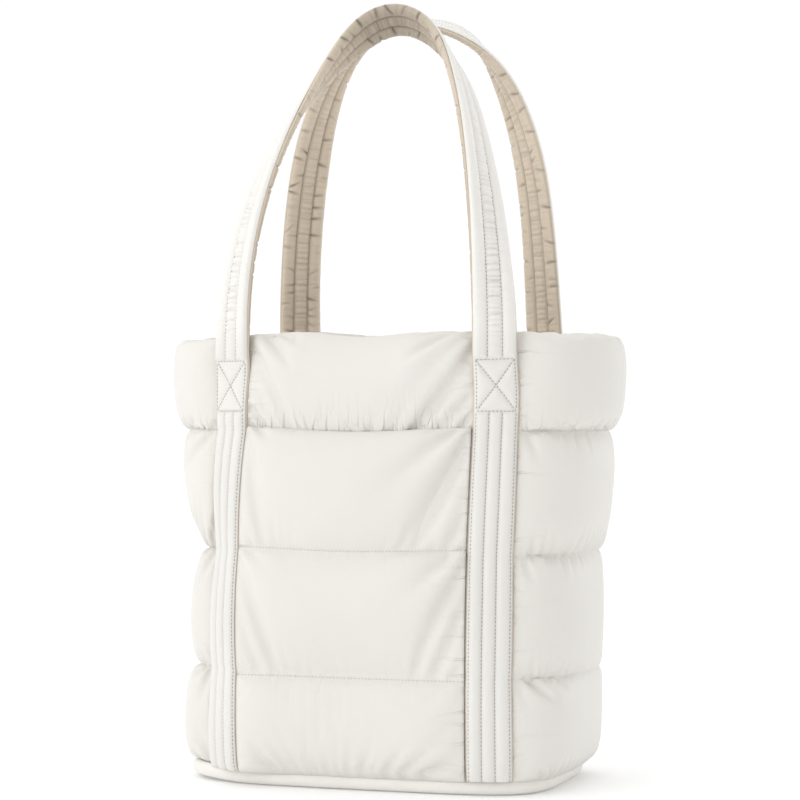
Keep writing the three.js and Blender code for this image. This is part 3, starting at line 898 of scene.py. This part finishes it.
def creases(places, across, folds, seed, tapered=False):
    """Depth of folds across a strap's channels; tapered ones start at an edge or at a seam."""
    channel = np.clip(np.round(across / (2.0 * HANDLE_LINE)), -1, 1).astype(int)
    outward = np.clip((np.abs(across) - HANDLE_LINE) / (HALF_STRAP - HANDLE_LINE), 0.0, 1.0)
    drop = np.zeros(np.broadcast(places, across).shape)
    for k in (-1, 0, 1):
        pitch, wide, deep, slant = folds[abs(k)]
        draw = np.random.default_rng(seed + k)
        at = np.cumsum(draw.uniform(*FOLD_STEPS, int(places.max() / pitch * FOLD_SPARE)) * pitch)
        depth = deep * draw.uniform(*FOLD_DEPTHS, len(at))
        lean = draw.normal(0.0, slant, len(at))
        from_edge = draw.random(len(at)) < EDGE_FOLDS
        nearest = np.clip(np.searchsorted(at, places + 0.0 * across), 1, len(at) - 1)
        low = np.zeros(drop.shape)
        for pick in (nearest - 1, nearest):
            past = places - at[pick] - lean[pick] * (across - k * 2.0 * HANDLE_LINE)
            fold = depth[pick] * bell(past / np.where(past < 0, STEEP * wide, wide))
            if tapered:
                fold = fold * ease(TAPER * np.where(from_edge[pick], outward, 1.0 - outward))
            low = np.maximum(low, fold)
        drop = np.where(channel == k, low, drop)
    return drop


def strap_point(stations, normals, shares, lift):
    """Points at shares across every station, lifted along the normals."""
    place = (shares + 1.0) / 2.0 * STRAP_COLUMNS
    low = np.clip(np.floor(place).astype(int), 0, STRAP_COLUMNS - 1)
    share = (place - low)[:, :, None]
    row = np.arange(len(stations))[:, None]
    points = stations[row, low] * (1.0 - share) + stations[row, low + 1] * share
    facing = unit(normals[row, low] * (1.0 - share) + normals[row, low + 1] * share)
    return points + facing * lift[:, :, None]


# Layers of a strap
FACE_SHARES = np.linspace(-1.0, 1.0, 35)
UNDER_SHARES = np.array([1.0, 0.0, -1.0])
FACE_TAUT = 0.6
TAUT_REACH = 100.0
APEX_NARROW = 0.06
APEX_WIDE = 0.03
FOLD_START = 0.15
FOLD_FADE = 40.0
PUCKER_RUN = 110.0
PUCKER_FADE = 80.0
PUCKER_LEFT = 0.4
LINING_PUFF = 4.6
LINING_ROUND = 6.2
LINING_EDGE = 0.2
FREE_START = 4.0
FREE_FADE = 25.0
EDGE_WAVE = 0.006
EDGE_PITCH = 7.0
BEND_CREASE = 0.3
BEND_REACH = 40.0

# Painted shade of a strap: depths at which its folds and seams are painted fully shaded, and shares of
# that painted shade
RIB_HOLLOW = 2.6
SLIT_HOLLOW = 2.8
SEAM_HOLLOW = 2.1
FACE_HOLLOW = 3.0
SEWN_TONE = 0.7
EDGE_HOLLOW = 1.0
EDGE_TONE = 0.6
RIM_REACH = 200.0
APEX_SHADE = 0.55
APEX_REACH = 60.0


def from_apex(places, reach):
    """Share that falls off with the distance from the top of a handle."""
    return bell((places - places[-1] / 2.0) / reach)[:, None]


def hollow_marks(hollow):
    """Marks of painted shade at the points of a strap's rings, none on the flat side."""
    plain = np.zeros((len(hollow), len(UNDER_SHARES)))
    marks = np.concatenate([np.clip(hollow, 0.0, 1.0), plain], axis=1).ravel()
    return np.stack([marks, 0.0 * marks], axis=-1)


def layer_rings(run, shares, lift, width, flat):
    """Rings of a strap's layer: its shaped side at shares across, then its flat side."""
    stations, normals, places, _ = run
    shaped = strap_point(stations, normals, shares, lift)
    plain = np.full((len(places), len(UNDER_SHARES)), flat)
    under = strap_point(stations, normals, UNDER_SHARES[None] * width, plain)
    return np.concatenate([shaped, under], axis=1)


def strap_face(side, run, material):
    places, box = run[2:]
    from_foot = from_ends(places)[:, None]
    width = strap_width(from_foot, box, SEWN_WIDTH, HANDLE_WIDTH)
    width = width - APEX_NARROW * from_apex(places, TAUT_REACH)
    shares = FACE_SHARES[None] * width
    across = shares * HALF_STRAP
    height, puff = face_height(across, HALF_STRAP * width - np.abs(across), from_foot, box)
    free = ease((from_foot - box[1]) / FOLD_FADE)
    run_up = ease((from_foot - box[1] - PUCKER_RUN) / PUCKER_FADE)
    seed = FACE_SEEDS[side]
    ribs = creases(places[:, None], across, FACE_RIBS, seed) * (1.0 - (1.0 - PUCKER_LEFT) * run_up)
    slits = creases(places[:, None], across, FACE_SLITS, seed + SLIT_SEED, tapered=True)
    drop = (FOLD_START + (1.0 - FOLD_START) * free) * np.maximum(ribs, slits) * np.sqrt(puff)
    height = (height - drop) * (1.0 - FACE_TAUT * from_apex(places, TAUT_REACH))
    rings = layer_rings(run, shares, FACE_FOOT + height, width, FACE_FOOT)
    faces = [face[::-1] for face in capped_faces(*rings.shape[:2])]
    # Painted shade in the face's folds; the sewn run is painted darker, back near the body's ivory, so the
    # lighter strap cloth stays lighter only on the handle
    marks = hollow_marks(np.maximum(drop / FACE_HOLLOW, SEWN_TONE * (1.0 - free)))
    piece = mesh_object(side + "_strap_quilt", rings.reshape(-1, 3), faces, material, marks)
    dress(piece, side + "_strap_face")
    return shares, height


def strap_lining(side, run, material):
    places, box = run[2:]
    from_foot = from_ends(places)[:, None]
    width = strap_width(from_foot, box, LINING_WIDTH, 1.0)
    free = ease((from_foot - box[1] - FREE_START) / FREE_FADE)
    seed = LINING_SEEDS[side]
    waves = np.stack([ripple(places, EDGE_PITCH, seed + k) for k in (1, 2)], axis=-1) * free
    edges = width + EDGE_WAVE * waves + APEX_WIDE * from_apex(places, TAUT_REACH)
    shares = np.where(FACE_SHARES < 0, FACE_SHARES * edges[:, :1], FACE_SHARES * edges[:, 1:])
    across = shares * HALF_STRAP
    from_seam = np.abs(np.abs(across) - HANDLE_LINE)
    edge = HALF_STRAP * (1.0 - np.abs(FACE_SHARES)) * width
    puff = pillow(np.minimum(from_seam, edge + LINING_EDGE), LINING_ROUND) * free
    bend = 1.0 + BEND_CREASE * from_apex(places, BEND_REACH)
    ribs = creases(places[:, None], across, LINING_RIBS, seed)
    slits = bend * creases(places[:, None], across, LINING_SLITS, seed + SLIT_SEED, tapered=True)
    drop = np.minimum(np.maximum(ribs, slits) * np.sqrt(puff), LINING_PUFF * puff)
    lift = STRAP_CLEARANCE - LINING_PUFF * puff + drop
    rings = layer_rings(run, shares, lift, width, STRAP_CLEARANCE + LINING_THICKNESS)
    # Painted shade on the lining: darker in its folds and seams and along its edges, and darker towards
    # the top of the handle
    folds = np.maximum(ribs / RIB_HOLLOW, slits / SLIT_HOLLOW)
    seam = 1.0 - pillow(from_seam, SEAM_HOLLOW)
    rim = EDGE_TONE * (1.0 - pillow(edge, EDGE_HOLLOW)) * (1.0 - from_apex(places, RIM_REACH))
    apex_shade = APEX_SHADE * from_apex(places, APEX_REACH)
    marks = hollow_marks(apex_shade + free * np.maximum(folds, np.maximum(seam, rim)))
    faces = capped_faces(*rings.shape[:2])
    piece = mesh_object(side + "_strap_backing", rings.reshape(-1, 3), faces, material, marks)
    dress(piece, side + "_strap_lining")


# Stitches
STITCH_PITCH = 3.2
STITCH_LENGTH = 2.2
STITCH_START = 0.4
STITCH_RADIUS = 0.42
STITCH_SIDES = 5
STITCH_LIFT = 0.1
POCKET_STITCH_LIFT = 0.2
LINING_STITCH_LIFT = 0.3
LINING_SEAM_START = 20.0
BOX_POINTS = 20

# One stitch: share along it, share of its radius and rise over the cloth
STITCH_SHAPE = [
    (0.0, 0.25, -0.25), (0.2, 0.9, 0.05), (0.5, 1.0, 0.12), (0.8, 0.9, 0.05), (1.0, 0.25, -0.25),
]


def stitch_mesh(runs):
    """Points and faces of short threads along runs of (points, normals)."""
    points, faces = [], []
    turn = np.linspace(0.0, 2.0 * np.pi, STITCH_SIDES, endpoint=False)[:, None]
    rings = len(STITCH_SHAPE)
    one = capped_faces(rings, STITCH_SIDES)
    for line, facing in runs:
        length = run_length(line)
        for start in np.arange(STITCH_START, length[-1] - STITCH_LENGTH, STITCH_PITCH):
            ends = sample(np.array([start, start + STITCH_LENGTH]), length, line)
            up = unit(sample(start, length, facing))
            along = ends[1] - ends[0]
            aside = unit(np.cross(up, along))
            base = len(points) * rings * STITCH_SIDES
            thread = [
                ends[0] + along * share + up * lift
                + STITCH_RADIUS * wide * (np.cos(turn) * aside + np.sin(turn) * up)
                for share, wide, lift in STITCH_SHAPE
            ]
            points.append(np.concatenate(thread))
            faces += [[base + k for k in face] for face in one]
    return np.concatenate(points), faces


def strap_runs(run, face):
    """Stitched lines of a strap's face: along its channels, round its boxes and across them."""
    stations, normals, places, (box_foot, box_top) = run
    shares, height = face
    from_foot = from_ends(places)
    half = len(places) // 2
    runs = []

    def add(steps, across):
        wanted = np.broadcast_to(across, len(steps)) / HALF_STRAP
        tall = np.array([np.interp(share, shares[i], height[i]) for i, share in zip(steps, wanted)])
        lift = (FACE_FOOT + tall + STITCH_LIFT)[:, None]
        line = strap_point(stations[steps], normals[steps], wanted[:, None], lift)[:, 0]
        base = strap_point(stations[steps], normals[steps], wanted[:, None], 0.0 * lift)[:, 0]
        runs.append((line, unit(line - base)))

    index = np.arange(len(places))
    free = index[from_foot > box_top]
    for across in (-HANDLE_LINE, HANDLE_LINE):
        add(free, across)
    for leg in (index[:half], index[half:]):
        sewn = leg[from_foot[leg] < box_foot]
        boxed = leg[(from_foot[leg] >= box_foot) & (from_foot[leg] <= box_top)]
        for across in (-EDGE_LINE, -INNER_LINE, INNER_LINE, EDGE_LINE):
            add(sewn, across)
        for across in (-EDGE_LINE, EDGE_LINE):
            add(boxed, across)
            add(boxed, np.linspace(-across, across, len(boxed)))
        for end in (boxed[0], boxed[-1]):
            add(np.full(BOX_POINTS, end), np.linspace(-EDGE_LINE, EDGE_LINE, BOX_POINTS))
    return runs


def lining_runs(run):
    """Stitched lines along the channels of a handle's lining."""
    stations, normals, places, box = run
    free = from_ends(places) > box[1] + LINING_SEAM_START
    stations, normals = stations[free], normals[free]
    runs = []
    for across in (-HANDLE_LINE, HANDLE_LINE):
        share = np.full((len(stations), 1), across / HALF_STRAP)
        line, under = [
            strap_point(stations, normals, share, np.full(share.shape, lift))[:, 0]
            for lift in (STRAP_CLEARANCE, STRAP_CLEARANCE - LINING_STITCH_LIFT)
        ]
        runs.append((under, unit(under - line)))
    return runs


def pocket_runs(front):
    """The two rows of stitches across the pocket."""
    runs = []
    for row in (POCKET_STEPS, 2 * POCKET_STEPS):
        line = front[row]
        facing = np.tile([0.0, -1.0, 0.0], (len(line), 1))
        runs.append((line + facing * POCKET_STITCH_LIFT, facing))
    return runs


def stitches(name, runs, material):
    piece = mesh_object(name, *stitch_mesh(runs), material)
    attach(piece, "root")


# Materials: colour, shade and roughness of each cloth and thread
LOOKS = {
    "quilted_nylon": ((0.752, 0.732, 0.69), (0.722, 0.702, 0.66), 0.5),
    # The base cloth is the body's ivory made lighter: painted light on the base
    "base_nylon_painted_light": ((0.83, 0.812, 0.765), (0.80, 0.782, 0.735), 0.5),
    # The padded strap cloth is lighter than the body's ivory: painted light on the handles
    "padded_nylon_painted_light": ((0.83, 0.812, 0.775), (0.80, 0.782, 0.745), 0.5),
    "taupe_nylon": ((0.71, 0.61, 0.485), (0.645, 0.552, 0.437), 0.5),
    # Strap thread darker than the cloth: partly the thread's own colour, partly painted shade of the
    # stitch holes
    "ivory_thread": ((0.45, 0.42, 0.36), (0.39, 0.37, 0.31), 0.6),
    "pale_thread": ((0.66, 0.635, 0.58), (0.60, 0.575, 0.52), 0.6),
    "taupe_thread": ((0.24, 0.19, 0.14), (0.20, 0.16, 0.12), 0.6),
}
SHEEN = 0.12
SHEEN_ROUGHNESS = 0.4
# Share of brightness that padded and taupe cloth keep where they are painted fully shaded
PADDING_TONE = 0.88
TAUPE_TONE = 0.35
TAUPE_SHEEN = 0.45

# Noise of the patches, the crinkles and the weave: scale, detail and distortion
PATCHES = (9.0, 4.0, 0.0)
PATCH_RANGE = (0.3, 0.7)
CRINKLES = (70.0, 3.0, 0.6)
WEAVE = (1400.0, 1.0, 0.0)

# Strength of each relief and its height in metres
FOLD_BUMP = (1.0, 0.001)
CRINKLE_BUMP = (0.35, 0.0008)
WEAVE_BUMP = (0.25, 0.0001)

# Creases beside straps and seams: stretch of their noise, its scale, detail and distortion, and line width
STRAP_FOLDS = (11.0, 11.0, 44.0)
SEAM_FOLDS = (95.0, 95.0, 2.5)
PINCH_NOISE = (1.0, 1.5, 0.0)
NOISE_MIDDLE = 0.5
PINCH_WIDTH = 0.05


def feed(tree, node, inputs):
    """Gives a node its inputs, each a value or a link from a socket."""
    for key, value in inputs.items():
        if isinstance(value, bpy.types.NodeSocket):
            tree.links.new(value, node.inputs[key])
        else:
            node.inputs[key].default_value = value


def add_node(tree, kind, inputs, **settings):
    """Outputs of a new node with its inputs and settings."""
    node = tree.nodes.new("ShaderNode" + kind)
    for key, value in settings.items():
        setattr(node, key, value)
    feed(tree, node, inputs)
    return node.outputs


def new_material(name):
    """A new material, its nodes and its shader."""
    material = bpy.data.materials.new(name)
    material.use_nodes = True
    return material, material.node_tree, material.node_tree.nodes["Principled BSDF"]


def noise(tree, place, scale, detail, distortion):
    inputs = {"Vector": place, "Scale": scale, "Detail": detail, "Distortion": distortion}
    return add_node(tree, "TexNoise", inputs)["Fac"]


def pinch_marks(tree):
    """The two marks at each point of a piece, as sockets."""
    uv = add_node(tree, "UVMap", {}, uv_map="pinch")["UV"]
    split = add_node(tree, "SeparateXYZ", {"Vector": uv})
    return split["X"], split["Y"]


def pinched(tree, place, stretch, near):
    """Height of thin creases along a stretched noise, where cloth is pinched."""
    scaled = add_node(tree, "VectorMath", {0: place, 1: stretch}, operation="MULTIPLY")["Vector"]
    level = noise(tree, scaled, *PINCH_NOISE)
    offset = add_node(tree, "Math", {0: level, 1: NOISE_MIDDLE}, operation="SUBTRACT")["Value"]
    size = add_node(tree, "Math", {0: offset}, operation="ABSOLUTE")["Value"]
    ends = {"Value": size, "From Max": PINCH_WIDTH, "To Min": -1.0, "To Max": 0.0}
    line = add_node(tree, "MapRange", ends, interpolation_type="SMOOTHSTEP")["Result"]
    return add_node(tree, "Math", {0: line, 1: near}, operation="MULTIPLY")["Value"]


def pinch_height(tree, place):
    """Height of the creases beside straps and seams together."""
    by_strap, by_seam = pinch_marks(tree)
    beside_straps = pinched(tree, place, STRAP_FOLDS, by_strap)
    beside_seams = pinched(tree, place, SEAM_FOLDS, by_seam)
    return add_node(tree, "Math", {0: beside_straps, 1: beside_seams}, operation="ADD")["Value"]


def with_painted_shade(tree, colour, tone):
    """A colour brought to a share of its brightness by the first pinch mark: painted shade where the cloth
    is marked hollow.
    """
    hollow = pinch_marks(tree)[0]
    level = add_node(tree, "MapRange", {"Value": hollow, "To Min": 1.0, "To Max": tone})["Result"]
    return add_node(tree, "HueSaturation", {"Value": level, "Color": colour})["Color"]


def patchy(tree, place, colour, shade):
    """A colour with patches of its shade."""
    ramp = tree.nodes.new("ShaderNodeValToRGB")
    for element, position, look in zip(ramp.color_ramp.elements, PATCH_RANGE, (shade, colour)):
        element.position = position
        element.color = (*look, 1.0)
    tree.links.new(noise(tree, place, *PATCHES), ramp.inputs["Fac"])
    return ramp.outputs["Color"]


def nylon(name, quilted=False, tone=None, sheen=SHEEN):
    """Woven nylon with patchy tone, fine threads and soft crinkles, creases where it is quilted, and
    painted shade in its hollows where it is given a tone.
    """
    colour, shade, roughness = LOOKS[name]
    material, tree, shader = new_material(name)
    feed(tree, shader, {"Roughness": roughness, "Sheen Weight": sheen, "Sheen Roughness": SHEEN_ROUGHNESS})
    place = add_node(tree, "TexCoord", {})["Object"]
    shown = patchy(tree, place, colour, shade)
    if tone:
        shown = with_painted_shade(tree, shown, tone)
    reliefs = [(noise(tree, place, *CRINKLES), CRINKLE_BUMP), (noise(tree, place, *WEAVE), WEAVE_BUMP)]
    if quilted:
        reliefs.insert(0, (pinch_height(tree, place), FOLD_BUMP))
    below = {}
    for height, (strength, distance) in reliefs:
        inputs = {"Strength": strength, "Distance": distance, "Height": height, **below}
        below = {"Normal": add_node(tree, "Bump", inputs)["Normal"]}
    feed(tree, shader, {"Base Color": shown, **below})
    return material


# Camera
PIXELS = 800
CAMERA_AZIMUTH = 18.4
CAMERA_DISTANCE = 2233.0
CAMERA_HEIGHT = 328.7
CAMERA_ASIDE = 5.9
FOCAL_PIXELS = 2540.0
SENSOR = 36.0
VIEW_REACH = 200.0

# Studio
WORLD_LIGHT = 1.04
DIM_SIDE = (1.0, -0.6, 0.25)
DIM_FROM = -0.4
DIM_LIGHT = 0.72
WHITE = (1.0, 1.0, 1.0, 1.0)
FLOOR_REACH = 60000.0
FLOOR_COLOUR = (0.9, 0.9, 0.9, 1.0)
FLOOR_ROUGHNESS = 0.9
FLOOR_GLOW = 0.11

# Lamps: where each shines from, strength and spread in degrees
LAMPS = {
    "key": ((-1.2, -1.0, 1.0), 0.5, 60.0),
    "fill": ((-0.3, -1.0, 0.02), 0.48, 40.0),
    "overhead": ((0.0, 0.2, 1.0), 0.4, 60.0),
    "edge": ((0.8, 0.8, 0.1), 0.45, 40.0),
}


def camera():
    azimuth = math.radians(CAMERA_AZIMUTH)
    right = Vector((math.cos(azimuth), math.sin(azimuth), 0.0))
    back = Vector((-math.sin(azimuth), math.cos(azimuth), 0.0))
    data = bpy.data.cameras.new("camera")
    data.sensor_width = SENSOR
    data.lens = FOCAL_PIXELS / PIXELS * SENSOR
    data.clip_end = VIEW_REACH
    eye = bpy.data.objects.new("camera", data)
    height = Vector((0.0, 0.0, CAMERA_HEIGHT))
    eye.location = (right * CAMERA_ASIDE - back * CAMERA_DISTANCE + height) * MM
    eye.rotation_euler = (math.pi / 2, 0.0, azimuth)
    bpy.context.collection.objects.link(eye)
    bpy.context.scene.camera = eye


def surroundings():
    """Soft light from all round, dimmer from one side."""
    world = bpy.data.worlds.new("studio")
    world.use_nodes = True
    tree = world.node_tree
    place = add_node(tree, "TexCoord", {})["Generated"]
    side = Vector(DIM_SIDE).normalized()
    towards = add_node(tree, "VectorMath", {0: place, 1: side}, operation="DOT_PRODUCT")["Value"]
    ends = {"Value": towards, "From Min": DIM_FROM, "To Min": WORLD_LIGHT, "To Max": DIM_LIGHT}
    fade = add_node(tree, "MapRange", ends, interpolation_type="SMOOTHSTEP")["Result"]
    feed(tree, tree.nodes["Background"], {"Color": WHITE, "Strength": fade})
    bpy.context.scene.world = world


def lamps():
    for name, (source, strength, spread) in LAMPS.items():
        light = bpy.data.lights.new(name, "SUN")
        light.angle = math.radians(spread)
        light.energy = strength
        lamp = bpy.data.objects.new(name, light)
        lamp.rotation_euler = Vector(source).to_track_quat("Z", "Y").to_euler()
        bpy.context.collection.objects.link(lamp)


def pale_floor():
    corners = [(-1, -1), (1, -1), (1, 1), (-1, 1)]
    points = [(x * FLOOR_REACH, y * FLOOR_REACH, 0.0) for x, y in corners]
    ground, tree, shader = new_material("pale_floor")
    feed(tree, shader, {"Base Color": FLOOR_COLOUR, "Roughness": FLOOR_ROUGHNESS})
    feed(tree, shader, {"Emission Color": WHITE, "Emission Strength": FLOOR_GLOW})
    mesh_object("floor", points, [(0, 1, 2, 3)], ground)


quilt = nylon("quilted_nylon", quilted=True)
edging = nylon("base_nylon_painted_light")
padding = nylon("padded_nylon_painted_light", tone=PADDING_TONE)
taupe = nylon("taupe_nylon", tone=TAUPE_TONE, sheen=TAUPE_SHEEN)
thread = nylon("ivory_thread")
pale_thread = nylon("pale_thread")
dark_thread = nylon("taupe_thread")
quilted_body(quilt)
front = front_pocket(quilt)
base_panel(edging)
stitches("pocket_stitches", pocket_runs(front), pale_thread)
levels = sewn_levels()
for side in ("front", "back"):
    run = strap_stations(side, levels)
    face = strap_face(side, run, padding)
    strap_lining(side, run, taupe)
    stitches(side + "_strap_stitches", strap_runs(run, face), thread)
    stitches(side + "_lining_stitches", lining_runs(run), dark_thread)
camera()
bpy.context.scene.view_settings.view_transform = "Standard"
surroundings()
lamps()
pale_floor()
